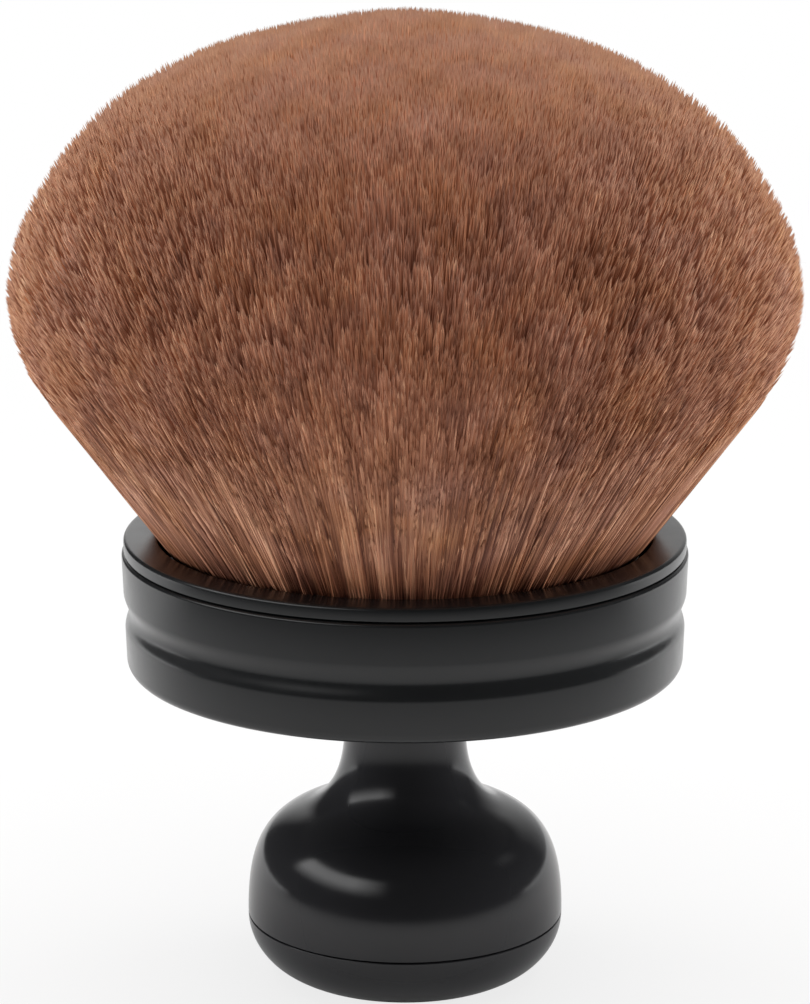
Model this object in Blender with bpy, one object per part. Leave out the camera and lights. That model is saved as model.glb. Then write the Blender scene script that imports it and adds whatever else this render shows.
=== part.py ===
"""A large powder brush that stands on its own knob.

A dome of fibres is glued into a cup, the cup sits in a wide ferrule under a trim ring, and one
screw through the neck holds the ferrule to a weighted knob. The origin is the centre of the
knob's flat base, and +Z runs up the brush. Lengths are in metres.
"""

import math

import bmesh
import bpy
from mathutils import Vector
from mathutils.geometry import interpolate_bezier

MM = 0.001
UP = Vector((0, 0, 1))

# Fits that all pieces share
CLEARANCE = 0.3 * MM
OVERRUN = 1.0 * MM
WELD = 0.002 * MM

# How finely the round pieces are faceted
LARGE_SEGMENTS = 60
SMALL_SEGMENTS = 32
CURVE_STEPS = 6
CORNER_STEPS = 2
SHARP_ANGLE = math.radians(35)

# Heights on the brush, from the surface that it stands on
SEAM_HEIGHT = 5.6 * MM
SHOULDER_HEIGHT = 15.46 * MM
FERRULE_HEIGHT = 29.0 * MM

# Lengths that stand on the ferrule's foot, one on top of the other
FERRULE_LENGTH = 10.7 * MM
RING_LENGTH = 1.3 * MM
TUFT_LENGTH = 46.7 * MM

# Knob and neck, one hollow moulding
KNOB_RADIUS = 14.25 * MM
KNOB_WALL = 2.0 * MM
SHOULDER_RADIUS = 9.15 * MM
SHOULDER_SLOPE = math.radians(21)
SIDE_HANDLE_SHARE = 0.63
CROWN_HANDLE_SHARE = 0.75
SWEEP_HANDLE_SHARE = 0.84
NECK_HANDLE_SHARE = 0.37
NECK_RADIUS = 5.5 * MM
SWEEP_RISE = 6.99 * MM
SPIGOT_RADIUS = 3.9 * MM
SPIGOT_LENGTH = 1.2 * MM
WELL_RADIUS = 3.6 * MM
WEB_DROP = 3.45 * MM
SNAP_DEPTH = 0.35 * MM
SNAP_RISE = 1.8 * MM

# Base cap, snapped into the knob
BASE_RADIUS = 8.0 * MM
CAP_FLOOR = 1.8 * MM
CAP_WALL = 1.5 * MM
CAP_RIM_RISE = 3.0 * MM

# Ballast and the foam over it
BALLAST_HEIGHT = 8.8 * MM
BALLAST_CHAMFER = 0.8 * MM
PAD_RADIUS = 4.5 * MM

# Screw, washer and nut that clamp the ferrule to the neck
SCREW_RADIUS = 1.5 * MM
SCREW_POINT = 0.5 * MM
SCREW_HEAD_RADIUS = 2.8 * MM
SCREW_HEAD_HEIGHT = 2.0 * MM
SCREW_HEAD_ROUND = 0.9 * MM
RECESS_LENGTH = 3.2 * MM
RECESS_WIDTH = 0.8 * MM
RECESS_DEPTH = 1.2 * MM
WASHER_RADIUS = 3.2 * MM
WASHER_THICKNESS = 0.5 * MM
NUT_ACROSS_FLATS = 5.5 * MM
NUT_HEIGHT = 2.2 * MM

# Ferrule body
FERRULE_TOP_RADIUS = 25.2 * MM
FERRULE_TAPER = 0.4 * MM
FERRULE_WALL = 1.7 * MM
FERRULE_FLOOR = 2.0 * MM
FERRULE_FOOT_ROUND = 1.0 * MM
FERRULE_LIP_ROUND = 0.3 * MM
GROOVE_RISE = 5.4 * MM
GROOVE_WIDTH = 3.4 * MM
GROOVE_DEPTH = 0.4 * MM
GROOVE_STEPS = 6
BOSS_RADIUS = 5.2 * MM
BOSS_WEB = 0.8 * MM
SEAT_WALL = 2.0 * MM
SEAT_RISE = 2.9 * MM

# Trim ring round the bristles
RING_INSET = 0.2 * MM
RING_WALL = 1.25 * MM
RING_SKIRT_LENGTH = 4.0 * MM
RING_ROUND = 0.35 * MM

# Cup that holds the roots, with its adhesive, the resin in it and the binding
CUP_MARGIN = 0.95 * MM
CUP_WALL = 0.7 * MM
CUP_DEPTH = 3.5 * MM
CUP_ROUND = 0.7 * MM
ADHESIVE_WIDTH = 6.7 * MM
RESIN_FLOOR = 0.4 * MM
RESIN_WALL_HEIGHT = 0.9 * MM
BINDING_HEIGHT = 0.8 * MM
BINDING_ROUND = 0.2 * MM

# Bristles: locks of fibre that fan out from one point low on the axis
FAN_HALF_ANGLE = math.radians(36.72)
SIDE_DROP = 22.1 * MM
CROWN_BEND_SHARE = 2.0
SIDE_BEND_SHARE = 0.483
LOCK_RINGS = 6
LOCK_SECTORS = 12
LOCK_GAP = 0.14 * MM
LOCK_POINT = 6.0 * MM
ROOT_THICKNESS = 1.5 * MM

# Finishes: sRGB colour out of 255, roughness and metallic
SATIN_BLACK = ((34, 35, 36), 0.34, 0.0)
GLOSS_BLACK = ((24, 24, 25), 0.2, 0.0)
FIBRE_BROWN = ((139, 92, 70), 0.75, 0.0)
ALUMINIUM = ((196, 198, 200), 0.35, 1.0)
STEEL = ((150, 152, 156), 0.35, 1.0)
BRASS = ((196, 164, 96), 0.3, 1.0)
RESIN_AMBER = ((196, 160, 92), 0.3, 0.0)
ADHESIVE_WHITE = ((222, 218, 206), 0.55, 0.0)
THREAD_CREAM = ((214, 204, 184), 0.85, 0.0)
FOAM_GREY = ((92, 94, 98), 0.95, 0.0)

# Places that follow from the sizes above
PARTING_HEIGHT = FERRULE_HEIGHT + FERRULE_LENGTH
RIM_HEIGHT = PARTING_HEIGHT + RING_LENGTH
CROWN_HEIGHT = RIM_HEIGHT + TUFT_LENGTH
GROOVE_HEIGHT = FERRULE_HEIGHT + GROOVE_RISE
NECK_FOOT_HEIGHT = SHOULDER_HEIGHT + SWEEP_RISE
WEB_HEIGHT = NECK_FOOT_HEIGHT - WEB_DROP
SNAP_HEIGHT = SEAM_HEIGHT + SNAP_RISE
CAP_RIM_HEIGHT = SEAM_HEIGHT + CAP_RIM_RISE
FERRULE_FOOT_RADIUS = FERRULE_TOP_RADIUS - FERRULE_TAPER
FERRULE_BORE_RADIUS = FERRULE_TOP_RADIUS - FERRULE_WALL
RING_RADIUS = FERRULE_TOP_RADIUS - RING_INSET
RING_SKIRT_RADIUS = FERRULE_BORE_RADIUS - CLEARANCE
RING_BORE_RADIUS = RING_SKIRT_RADIUS - RING_WALL
ROOT_FAN_RADIUS = RING_BORE_RADIUS - CLEARANCE
CUP_RADIUS = RING_BORE_RADIUS - CUP_MARGIN
CUP_BORE_RADIUS = CUP_RADIUS - CUP_WALL
SEAT_RADIUS = CUP_RADIUS
CAP_TOP = SEAM_HEIGHT - CLEARANCE / 2
KNOB_BOTTOM = SEAM_HEIGHT + CLEARANCE / 2
KNOB_BORE_RADIUS = KNOB_RADIUS - KNOB_WALL
CAP_RIM_RADIUS = KNOB_BORE_RADIUS - CLEARANCE
CAP_BORE_RADIUS = CAP_RIM_RADIUS - CAP_WALL
BALLAST_BOTTOM = CAP_FLOOR + CLEARANCE
BALLAST_TOP = BALLAST_BOTTOM + BALLAST_HEIGHT
WASHER_TOP = WEB_HEIGHT - CLEARANCE
HEAD_TOP = WASHER_TOP - WASHER_THICKNESS - CLEARANCE
HEAD_BOTTOM = HEAD_TOP - SCREW_HEAD_HEIGHT
BOLT_HOLE_RADIUS = SCREW_RADIUS + CLEARANCE
NECK_TOP = FERRULE_HEIGHT - CLEARANCE
SPIGOT_TOP = FERRULE_HEIGHT + SPIGOT_LENGTH
SPIGOT_HOLE_TOP = SPIGOT_TOP + CLEARANCE
FERRULE_FLOOR_TOP = FERRULE_HEIGHT + FERRULE_FLOOR
FERRULE_TOP = PARTING_HEIGHT - CLEARANCE / 2
RING_BOTTOM = PARTING_HEIGHT + CLEARANCE / 2
NUT_POCKET_BOTTOM = SPIGOT_HOLE_TOP + BOSS_WEB
SEAT_TOP = FERRULE_FLOOR_TOP + SEAT_RISE
SCREW_LENGTH = SEAT_TOP - HEAD_TOP
CUP_BOTTOM = SEAT_TOP + CLEARANCE
CUP_FLOOR_TOP = CUP_BOTTOM + CUP_WALL
RESIN_BOTTOM = CUP_FLOOR_TOP + CLEARANCE
ROOT_BOTTOM = RESIN_BOTTOM + RESIN_FLOOR + CLEARANCE
ROOT_TOP = ROOT_BOTTOM + ROOT_THICKNESS
RESIN_TOP = RESIN_BOTTOM + RESIN_WALL_HEIGHT
FAN_HEIGHT = RIM_HEIGHT - ROOT_FAN_RADIUS / math.tan(FAN_HALF_ANGLE)
ROOT_RADIUS = (ROOT_TOP - FAN_HEIGHT) * math.tan(FAN_HALF_ANGLE)


def linear(channel):
    """One sRGB channel out of 255 as the linear value that a shader takes."""
    share = channel / 255
    return share / 12.92 if share <= 0.04045 else ((share + 0.055) / 1.055) ** 2.4


def material(name, finish):
    colour, roughness, metallic = finish
    made = bpy.data.materials.new(name)
    made.use_nodes = True
    shader = made.node_tree.nodes["Principled BSDF"]
    rgba = (*map(linear, colour), 1)
    shader.inputs["Base Color"].default_value = rgba
    shader.inputs["Roughness"].default_value = roughness
    shader.inputs["Metallic"].default_value = metallic
    made.diffuse_color = rgba
    return made


def solid(name, shape, finish):
    """The bmesh shape as a named object with its own material, smooth except at its corners."""
    mesh = bpy.data.meshes.new(name)
    shape.to_mesh(mesh)
    shape.free()
    mesh.materials.append(material(name, finish))
    mesh.shade_smooth()
    mesh.set_sharp_from_angle(angle=SHARP_ANGLE)
    made = bpy.data.objects.new(name, mesh)
    bpy.context.scene.collection.objects.link(made)
    return made


def turned(name, outline, finish, segments=LARGE_SEGMENTS):
    """A turned piece. The outline holds (radius, height) points: one that starts and ends on
    the axis makes a solid round it, and any other closes into a ring's section."""
    shape = bmesh.new()
    points = [shape.verts.new((radius, 0, height)) for radius, height in outline]
    edges = [shape.edges.new(pair) for pair in zip(points, points[1:])]
    if outline[0][0] > 0:
        edges.append(shape.edges.new((points[-1], points[0])))
    bmesh.ops.spin(
        shape,
        geom=points + edges,
        cent=(0, 0, 0),
        axis=UP,
        angle=math.tau,
        steps=segments,
    )
    bmesh.ops.remove_doubles(shape, verts=shape.verts, dist=WELD)
    bmesh.ops.recalc_face_normals(shape, faces=shape.faces)
    return solid(name, shape, finish)


def rounded(before, corner, after, radius):
    """The arc that rounds the outline's corner between its two neighbours."""
    corner = Vector(corner)
    back = (Vector(before) - corner).normalized()
    ahead = (Vector(after) - corner).normalized()
    half = back.angle(ahead) / 2
    centre = corner + (back + ahead).normalized() * (radius / math.sin(half))
    tangent = radius / math.tan(half)
    start = (corner + back * tangent - centre).normalized()
    end = (corner + ahead * tangent - centre).normalized()
    shares = [step / CORNER_STEPS for step in range(CORNER_STEPS + 1)]
    return [tuple(centre + start.slerp(end, share) * radius) for share in shares]


def cut(body, cutter):
    """Takes the cutter's shape out of the body, and keeps the cutter as a hidden guide."""
    cutter.hide_render = True
    cutter.display_type = "WIRE"
    modifier = body.modifiers.new(cutter.name, "BOOLEAN")
    modifier.operation = "DIFFERENCE"
    modifier.object = cutter


def hexagon(across_flats, bottom, top):
    """A six-sided prism on the axis."""
    shape = bmesh.new()
    corner_radius = across_flats / math.sqrt(3)
    bmesh.ops.create_cone(
        shape,
        cap_ends=True,
        segments=6,
        radius1=corner_radius,
        radius2=corner_radius,
        depth=top - bottom,
    )
    bmesh.ops.translate(shape, verts=shape.verts, vec=(0, 0, (bottom + top) / 2))
    return shape


def knob_curve():
    """The knob's outer side, from the foot of the neck over the shoulder to the seam."""
    slope = Vector((math.cos(SHOULDER_SLOPE), -math.sin(SHOULDER_SLOPE)))
    neck = Vector((NECK_RADIUS, NECK_FOOT_HEIGHT))
    shoulder = Vector((SHOULDER_RADIUS, SHOULDER_HEIGHT))
    seam = Vector((KNOB_RADIUS, KNOB_BOTTOM))
    down = Vector((0, -1))
    neck_handle = neck + down * (neck.y - shoulder.y) * NECK_HANDLE_SHARE
    sweep_handle = shoulder - slope * (shoulder.x - neck.x) * SWEEP_HANDLE_SHARE
    crown_handle = shoulder + slope * (seam.x - shoulder.x) * CROWN_HANDLE_SHARE
    side_handle = seam - down * (shoulder.y - seam.y) * SIDE_HANDLE_SHARE
    sweep = interpolate_bezier(neck, neck_handle, sweep_handle, shoulder, CURVE_STEPS)
    crown = interpolate_bezier(shoulder, crown_handle, side_handle, seam, CURVE_STEPS)
    return [point.xy for point in sweep[:-1] + crown]


def inner_curve(outer, wall):
    """The outer side moved in by the wall, from the well under the neck to the cap's bore."""
    inner = []
    for before, point, after in zip(outer, outer[1:], outer[2:]):
        along = (after - before).normalized()
        inner.append(point + Vector((along.y, -along.x)) * wall)
    bore_top = CAP_RIM_HEIGHT + CLEARANCE
    return [tuple(point) for point in inner if point.x > WELL_RADIUS and point.y > bore_top]


def snap(radius):
    """The ridge that the cap's rim and the knob's bore share, as it lies on this radius."""
    return [
        (radius, SNAP_HEIGHT + SNAP_DEPTH),
        (radius + SNAP_DEPTH, SNAP_HEIGHT),
        (radius, SNAP_HEIGHT - SNAP_DEPTH),
    ]


def knob_shell():
    outer = knob_curve()
    inner = inner_curve(outer, KNOB_WALL)
    outline = [
        (SPIGOT_RADIUS, SPIGOT_TOP),
        (SPIGOT_RADIUS, NECK_TOP),
        (NECK_RADIUS, NECK_TOP),
        *map(tuple, outer),
        (KNOB_BORE_RADIUS, KNOB_BOTTOM),
        *reversed(snap(KNOB_BORE_RADIUS)),
        (KNOB_BORE_RADIUS, inner[-1][1]),
        *reversed(inner),
        (WELL_RADIUS, inner[0][1]),
        (WELL_RADIUS, WEB_HEIGHT),
        (BOLT_HOLE_RADIUS, WEB_HEIGHT),
        (BOLT_HOLE_RADIUS, SPIGOT_TOP),
    ]
    turned("knob_shell", outline, GLOSS_BLACK)


def knob_base_cap():
    width = KNOB_RADIUS - BASE_RADIUS
    turns = [math.pi / 2 * step / CURVE_STEPS for step in range(CURVE_STEPS + 1)]
    corner = [
        (BASE_RADIUS + width * math.cos(turn), CAP_TOP * (1 - math.sin(turn))) for turn in turns
    ]
    outline = [
        (0, CAP_FLOOR),
        (CAP_BORE_RADIUS, CAP_FLOOR),
        (CAP_BORE_RADIUS, CAP_RIM_HEIGHT),
        (CAP_RIM_RADIUS, CAP_RIM_HEIGHT),
        *snap(CAP_RIM_RADIUS),
        (CAP_RIM_RADIUS, CAP_TOP),
        *corner,
        (0, 0),
    ]
    turned("knob_base_cap", outline, GLOSS_BLACK)


def knob_ballast():
    radius = CAP_BORE_RADIUS - CLEARANCE
    outline = [
        (0, BALLAST_TOP),
        (radius - BALLAST_CHAMFER, BALLAST_TOP),
        (radius, BALLAST_TOP - BALLAST_CHAMFER),
        (radius, BALLAST_BOTTOM + BALLAST_CHAMFER),
        (radius - BALLAST_CHAMFER, BALLAST_BOTTOM),
        (0, BALLAST_BOTTOM),
    ]
    turned("knob_ballast", outline, STEEL, SMALL_SEGMENTS)


def ballast_pad():
    top = HEAD_BOTTOM - CLEARANCE
    bottom = BALLAST_TOP + CLEARANCE
    outline = [(0, top), (PAD_RADIUS, top), (PAD_RADIUS, bottom), (0, bottom)]
    turned("ballast_pad", outline, FOAM_GREY, SMALL_SEGMENTS)


def handle_screw():
    tip = HEAD_TOP + SCREW_LENGTH
    head = rounded(
        (SCREW_HEAD_RADIUS, HEAD_TOP),
        (SCREW_HEAD_RADIUS, HEAD_BOTTOM),
        (0, HEAD_BOTTOM),
        SCREW_HEAD_ROUND,
    )
    outline = [
        (0, tip),
        (SCREW_RADIUS - SCREW_POINT, tip),
        (SCREW_RADIUS, tip - SCREW_POINT),
        (SCREW_RADIUS, HEAD_TOP),
        (SCREW_HEAD_RADIUS, HEAD_TOP),
        *head,
        (0, HEAD_BOTTOM),
    ]
    screw = turned("handle_screw", outline, STEEL, SMALL_SEGMENTS)
    for number, size in enumerate(
        ((RECESS_LENGTH, RECESS_WIDTH), (RECESS_WIDTH, RECESS_LENGTH)), start=1
    ):
        shape = bmesh.new()
        bmesh.ops.create_cube(shape, size=1)
        bmesh.ops.scale(shape, verts=shape.verts, vec=(*size, RECESS_DEPTH * 2))
        bmesh.ops.translate(shape, verts=shape.verts, vec=(0, 0, HEAD_BOTTOM))
        cut(screw, solid(f"recess_cut_{number}", shape, STEEL))


def screw_washer():
    bottom = WASHER_TOP - WASHER_THICKNESS
    outline = [
        (WASHER_RADIUS, WASHER_TOP),
        (WASHER_RADIUS, bottom),
        (BOLT_HOLE_RADIUS, bottom),
        (BOLT_HOLE_RADIUS, WASHER_TOP),
    ]
    turned("screw_washer", outline, STEEL, SMALL_SEGMENTS)


def captive_nut():
    bottom = NUT_POCKET_BOTTOM + CLEARANCE
    top = bottom + NUT_HEIGHT
    nut = solid("captive_nut", hexagon(NUT_ACROSS_FLATS, bottom, top), BRASS)
    bore = [
        (0, top + OVERRUN),
        (BOLT_HOLE_RADIUS, top + OVERRUN),
        (BOLT_HOLE_RADIUS, bottom - OVERRUN),
        (0, bottom - OVERRUN),
    ]
    cut(nut, turned("nut_bore_cut", bore, BRASS, SMALL_SEGMENTS))


def ferrule_side():
    """The ferrule's outer wall below its lip: a slight taper with one shallow round groove."""
    taper = (FERRULE_TOP_RADIUS - FERRULE_FOOT_RADIUS) / (FERRULE_TOP - FERRULE_HEIGHT)
    side = []
    for step in range(GROOVE_STEPS + 1):
        share = step / GROOVE_STEPS
        height = GROOVE_HEIGHT + GROOVE_WIDTH * (1 / 2 - share)
        wall = FERRULE_FOOT_RADIUS + taper * (height - FERRULE_HEIGHT)
        side.append((wall - GROOVE_DEPTH * math.sin(math.pi * share) ** 2, height))
    return side


def ferrule_shell():
    side = ferrule_side()
    lip = (FERRULE_TOP_RADIUS, FERRULE_TOP)
    foot = (FERRULE_FOOT_RADIUS, FERRULE_HEIGHT)
    bore_top = (FERRULE_BORE_RADIUS, FERRULE_TOP)
    spigot_hole_radius = SPIGOT_RADIUS + CLEARANCE
    outline = [
        *rounded(bore_top, lip, side[0], FERRULE_LIP_ROUND),
        *side,
        *rounded(side[-1], foot, (0, FERRULE_HEIGHT), FERRULE_FOOT_ROUND),
        (spigot_hole_radius, FERRULE_HEIGHT),
        (spigot_hole_radius, SPIGOT_HOLE_TOP),
        (BOLT_HOLE_RADIUS, SPIGOT_HOLE_TOP),
        (BOLT_HOLE_RADIUS, SEAT_TOP),
        (BOSS_RADIUS, SEAT_TOP),
        (BOSS_RADIUS, FERRULE_FLOOR_TOP),
        (SEAT_RADIUS - SEAT_WALL, FERRULE_FLOOR_TOP),
        (SEAT_RADIUS - SEAT_WALL, SEAT_TOP),
        (SEAT_RADIUS, SEAT_TOP),
        (SEAT_RADIUS, FERRULE_FLOOR_TOP),
        (FERRULE_BORE_RADIUS, FERRULE_FLOOR_TOP),
        bore_top,
    ]
    shell = turned("ferrule_shell", outline, SATIN_BLACK)
    pocket_width = NUT_ACROSS_FLATS + 2 * CLEARANCE
    pocket = hexagon(pocket_width, NUT_POCKET_BOTTOM, SEAT_TOP + OVERRUN)
    cut(shell, solid("nut_pocket_cut", pocket, SATIN_BLACK))


def top_ring():
    skirt_bottom = RING_BOTTOM - RING_SKIRT_LENGTH
    top = (RING_RADIUS, RIM_HEIGHT)
    edge = (RING_RADIUS, RING_BOTTOM)
    mouth = (RING_BORE_RADIUS, RIM_HEIGHT)
    step = (RING_SKIRT_RADIUS, RING_BOTTOM)
    bore_foot = (RING_BORE_RADIUS, skirt_bottom)
    outline = [
        *rounded(bore_foot, mouth, top, RING_ROUND),
        *rounded(mouth, top, edge, RING_ROUND),
        *rounded(top, edge, step, RING_ROUND),
        step,
        (RING_SKIRT_RADIUS, skirt_bottom),
        bore_foot,
    ]
    turned("top_ring", outline, SATIN_BLACK)


def bristle_cup():
    lip = CUP_FLOOR_TOP + CUP_DEPTH
    outline = [
        (0, CUP_FLOOR_TOP),
        (CUP_BORE_RADIUS, CUP_FLOOR_TOP),
        (CUP_BORE_RADIUS, lip),
        (CUP_RADIUS, lip),
        *rounded((CUP_RADIUS, lip), (CUP_RADIUS, CUP_BOTTOM), (0, CUP_BOTTOM), CUP_ROUND),
        (0, CUP_BOTTOM),
    ]
    turned("bristle_cup", outline, ALUMINIUM, SMALL_SEGMENTS)


def cup_adhesive():
    radius = SEAT_RADIUS - SEAT_WALL - CLEARANCE
    top = CUP_BOTTOM - CLEARANCE
    bottom = FERRULE_FLOOR_TOP + CLEARANCE
    outline = [
        (radius, top),
        (radius, bottom),
        (radius - ADHESIVE_WIDTH, bottom),
        (radius - ADHESIVE_WIDTH, top),
    ]
    turned("cup_adhesive", outline, ADHESIVE_WHITE, SMALL_SEGMENTS)


def root_resin():
    radius = CUP_BORE_RADIUS - CLEARANCE
    recess_radius = ROOT_RADIUS + CLEARANCE
    recess_floor = RESIN_BOTTOM + RESIN_FLOOR
    outline = [
        (0, recess_floor),
        (recess_radius, recess_floor),
        (recess_radius, RESIN_TOP),
        (radius, RESIN_TOP),
        (radius, RESIN_BOTTOM),
        (0, RESIN_BOTTOM),
    ]
    turned("root_resin", outline, RESIN_AMBER, SMALL_SEGMENTS)


def root_binding():
    outer = CUP_BORE_RADIUS - CLEARANCE
    inner = ROOT_RADIUS + CLEARANCE
    bottom = RESIN_TOP + CLEARANCE
    top = bottom + BINDING_HEIGHT
    corners = [(outer, top), (outer, bottom), (inner, bottom), (inner, top)]
    outline = []
    for number, corner in enumerate(corners):
        after = corners[(number + 1) % len(corners)]
        outline += rounded(corners[number - 1], corner, after, BINDING_ROUND)
    turned("root_binding", outline, THREAD_CREAM, SMALL_SEGMENTS)


def reach(lean):
    """How far the fibres reach from the fan's point when they lean this much off the axis."""
    share = min(lean / FAN_HALF_ANGLE, 1)
    bend = (1 - share**CROWN_BEND_SHARE) ** SIDE_BEND_SHARE
    return CROWN_HEIGHT - FAN_HEIGHT - SIDE_DROP * (1 - bend)


def root_corners(shape, ring):
    """One ring of the lattice on the roots: one point in the middle, then a corner more for each
    sector from ring to ring."""
    radius = (ROOT_TOP - FAN_HEIGHT) * math.tan(FAN_HALF_ANGLE * ring / LOCK_RINGS)
    count = max(LOCK_SECTORS * ring, 1)
    turns = [math.tau * number / count for number in range(count)]
    return [
        shape.verts.new((radius * math.cos(turn), radius * math.sin(turn), ROOT_TOP))
        for turn in turns
    ]


def lattice_band(shape, inner, outer):
    """The triangles between two rings of the lattice, each the foot of one lock."""
    side = len(outer) // LOCK_SECTORS
    band = []
    for number, corner in enumerate(outer):
        sector, place = divmod(number, side)
        after = outer[(number + 1) % len(outer)]
        near = sector * (side - 1) + place
        across = inner[near % len(inner)]
        band.append(shape.faces.new((corner, after, across)))
        if place > 0:
            band.append(shape.faces.new((corner, across, inner[near - 1])))
    return band


def bristle_tuft():
    fan = Vector((0, 0, FAN_HEIGHT))
    shape = bmesh.new()
    rings = [root_corners(shape, ring) for ring in range(LOCK_RINGS + 1)]
    locks = []
    for inner, outer in zip(rings, rings[1:]):
        locks += lattice_band(shape, inner, outer)

    # The slice of fused roots under the locks
    rim = [edge for edge in shape.edges if edge.is_boundary]
    lower = bmesh.ops.extrude_edge_only(shape, edges=rim)["geom"]
    lower_points = [part for part in lower if isinstance(part, bmesh.types.BMVert)]
    lower_edges = [part for part in lower if isinstance(part, bmesh.types.BMEdge)]
    bmesh.ops.translate(shape, verts=lower_points, vec=(0, 0, ROOT_BOTTOM - ROOT_TOP))
    bmesh.ops.contextual_create(shape, geom=[e for e in lower_edges if e.is_boundary])

    # Each face of the slice grows along rays from the fan's point into one lock with a sharp end
    bmesh.ops.inset_individual(shape, faces=locks, thickness=LOCK_GAP / 2)
    for lock in bmesh.ops.extrude_discrete_faces(shape, faces=locks)["faces"]:
        middle = lock.calc_center_median() - fan
        tip = reach(middle.angle(UP))
        for corner in lock.verts:
            ray = corner.co - fan
            corner.co = fan + ray.normalized() * min(tip - LOCK_POINT, reach(ray.angle(UP)))
        point = bmesh.ops.poke(shape, faces=[lock])["verts"][0]
        point.co = fan + middle.normalized() * tip
    bmesh.ops.recalc_face_normals(shape, faces=shape.faces)
    solid("bristle_tuft", shape, FIBRE_BROWN)


for leftover in list(bpy.data.objects):
    bpy.data.objects.remove(leftover)

bristle_tuft()
root_binding()
root_resin()
bristle_cup()
cup_adhesive()
top_ring()
ferrule_shell()
captive_nut()
knob_shell()
screw_washer()
handle_screw()
ballast_pad()
knob_ballast()
knob_base_cap()
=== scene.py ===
# %% [markdown]
# # A powder brush on its own knob
# This brush is a wide dome of soft fibres, held by a black ferrule, on a glossy knob that it can
# stand on. The imported part gives every place and size. Most pieces here are modelled afresh round
# those places, much finer than the solids, and then ride on the same body. The hidden metal and
# resin pieces keep their solids.

# %% Load the imported part
import math

import bpy
import numpy as np
from mathutils import Color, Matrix, Vector, kdtree, noise
from mathutils.geometry import interpolate_bezier


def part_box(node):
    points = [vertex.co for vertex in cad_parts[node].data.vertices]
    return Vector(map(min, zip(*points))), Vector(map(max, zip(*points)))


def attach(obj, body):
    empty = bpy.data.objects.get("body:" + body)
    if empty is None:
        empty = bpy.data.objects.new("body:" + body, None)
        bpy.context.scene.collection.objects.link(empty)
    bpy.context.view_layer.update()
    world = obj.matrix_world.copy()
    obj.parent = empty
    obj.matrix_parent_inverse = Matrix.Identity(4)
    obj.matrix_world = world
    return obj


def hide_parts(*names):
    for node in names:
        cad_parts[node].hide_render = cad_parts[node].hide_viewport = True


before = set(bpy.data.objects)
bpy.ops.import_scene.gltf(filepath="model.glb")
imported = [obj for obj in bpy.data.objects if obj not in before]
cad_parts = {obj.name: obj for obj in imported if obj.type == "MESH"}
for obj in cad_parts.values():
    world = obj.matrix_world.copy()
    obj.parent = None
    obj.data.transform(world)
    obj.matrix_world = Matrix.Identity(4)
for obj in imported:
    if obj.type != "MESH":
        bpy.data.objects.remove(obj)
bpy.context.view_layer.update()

MM = 0.001
AXIS = (0, 0, 1)


def in_mm(*lengths):
    """These lengths in millimetres, for a print."""
    return [round(float(length) / MM, 2) for length in lengths]


# %% [markdown]
# ## The camera
# The photograph looks down on the brush by about 14 degrees from about 33 cm. Both come from the
# ellipses of the ferrule: their height against their width gives the tilt, and how much flatter
# the upper ones are gives the distance. A long lens then frames the brush.

# %% Put the camera where the photograph was taken
CAMERA_PLACE = (0, -330 * MM, 128 * MM)
CAMERA_TILT = math.radians(75.67)
CAMERA_LENS = 137.65
CAMERA_NEAREST = 10 * MM


def deselect():
    """An operator acts on all that is selected, so each new object starts with this."""
    bpy.ops.object.select_all(action="DESELECT")


deselect()
bpy.ops.object.camera_add(location=CAMERA_PLACE, rotation=(CAMERA_TILT, 0, 0))
camera = bpy.context.object
camera.data.lens = CAMERA_LENS
camera.data.clip_start = CAMERA_NEAREST
bpy.context.scene.camera = camera
print("Camera looks down by", round(90 - math.degrees(CAMERA_TILT), 1), "degrees")

# %% [markdown]
# ## Places that the pieces share
# The boxes of the solids say where each piece starts and ends, so nothing here is fitted by eye.
# What a box can't say, such as the neck's thickness, has its own named size.

# %% Read the places from the solids
CLEARANCE = 0.3 * MM
HAIRLINE = 0.1 * MM

_, cap_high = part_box("knob_base_cap")
knob_low, knob_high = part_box("knob_shell")
ferrule_low, ferrule_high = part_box("ferrule_shell")
ring_low, ring_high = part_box("top_ring")
tuft_low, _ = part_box("bristle_tuft")
seam = knob_low.z - CLEARANCE / 2
parting = ferrule_high.z + CLEARANCE / 2
rim = ring_high.z
print("Seam, parting and rim in mm:", in_mm(seam, parting, rim))

# %% [markdown]
# ## Turning a piece
# The ring, the ferrule and the knob are round, as if turned on a lathe. By hand this is a chain of
# edges, extruded corner by corner, and one spin about the axis. Each corner of the outline carries
# its own rounding, because a sharp edge never shows on a moulded piece: the light runs along it.

# %% Draw an outline with rounded corners
ARC_STEPS = 5


def outline_through(corners):
    """The points of an outline whose corners are (radius, height, rounding)."""
    points = []
    for number, (radius, height, rounding) in enumerate(corners):
        corner = Vector((radius, height))
        if not rounding:
            points.append(corner)
            continue
        back = (Vector(corners[number - 1][:2]) - corner).normalized()
        ahead = (Vector(corners[(number + 1) % len(corners)][:2]) - corner).normalized()
        half = back.angle(ahead) / 2
        centre = corner + (back + ahead).normalized() * (rounding / math.sin(half))
        start = (corner + back * (rounding / math.tan(half)) - centre).normalized()
        end = (corner + ahead * (rounding / math.tan(half)) - centre).normalized()
        for step in range(ARC_STEPS + 1):
            points.append(centre + start.slerp(end, step / ARC_STEPS) * rounding)
    return points


# %% Spin an outline about the axis
TURN_STEPS = 192
WELD = 0.001 * MM
SMOOTH_ANGLE = math.radians(32)


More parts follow.
